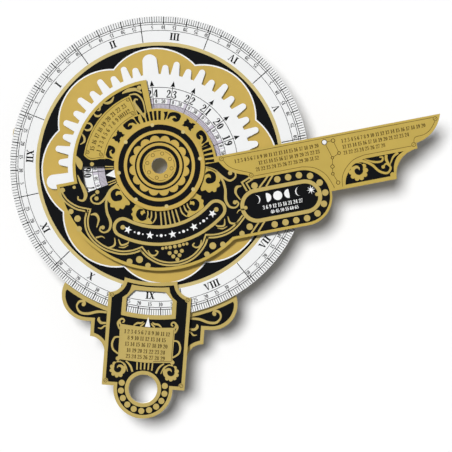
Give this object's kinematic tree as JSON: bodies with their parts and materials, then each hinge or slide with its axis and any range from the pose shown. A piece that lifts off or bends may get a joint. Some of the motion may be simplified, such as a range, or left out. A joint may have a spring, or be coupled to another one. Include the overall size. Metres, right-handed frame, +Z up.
{
  "type": "card astrolabe and nocturnal",
  "caption": "Hand-held card astrolabe: star clock with date dial, toothed hour dial and long pointer in front, degree circle with a turning sighting bar behind, handle with finger ring.",
  "frame": {"origin": "on the axis of the sighting hole, at the front face of the base boards", "axes": "+Y along the sighting hole, from the star clock's face to the astrolabe's face; +Z up, away from the handle; +X to the right as seen from the front"},
  "size_m": [0.213, 0.0254, 0.2018],
  "materials": {
    "gold_print": "card printed in a gold tone, semi-gloss",
    "black_print": "card printed in black, semi-gloss",
    "white_print": "white coated card with fine black print",
    "card_core": "bare card with cut edges, matt",
    "smooth_paper": "smooth paper, matt"
  },
  "bodies": {
    "base": {"front_board": "black_print", "back_board": "white_print", "handle_spacer": "card_core", "window_plate": "black_print", "sight_tube": "smooth_paper", "date_washer": "smooth_paper", "dial_axle_ring": "card_core", "pointer_washer": "smooth_paper", "front_rosette": "gold_print", "alidade_washer": "smooth_paper", "alidade_axle_ring": "card_core", "back_rosette": "gold_print"},
    "date_dial": {"date_board": "white_print", "hour_board": "white_print"},
    "pointer": {"pointer_plate": "gold_print"},
    "alidade": {"alidade_bar": "black_print", "right_vane_inner": "card_core", "right_vane_middle": "card_core", "right_vane_outer": "card_core", "left_vane_inner": "card_core", "left_vane_middle": "card_core", "left_vane_outer": "card_core"}
  },
  "joints": [
    {"name": "date_dial_turn", "type": "hinge", "parent": "base", "child": "date_dial", "pos_m": [0, 0, 0], "axis": [0, -1, 0], "continuous": true},
    {"name": "pointer_turn", "type": "hinge", "parent": "base", "child": "pointer", "pos_m": [0, 0, 0], "axis": [0, -1, 0], "continuous": true},
    {"name": "alidade_turn", "type": "hinge", "parent": "base", "child": "alidade", "pos_m": [0, 0, 0], "axis": [0, -1, 0], "continuous": true}
  ]
}
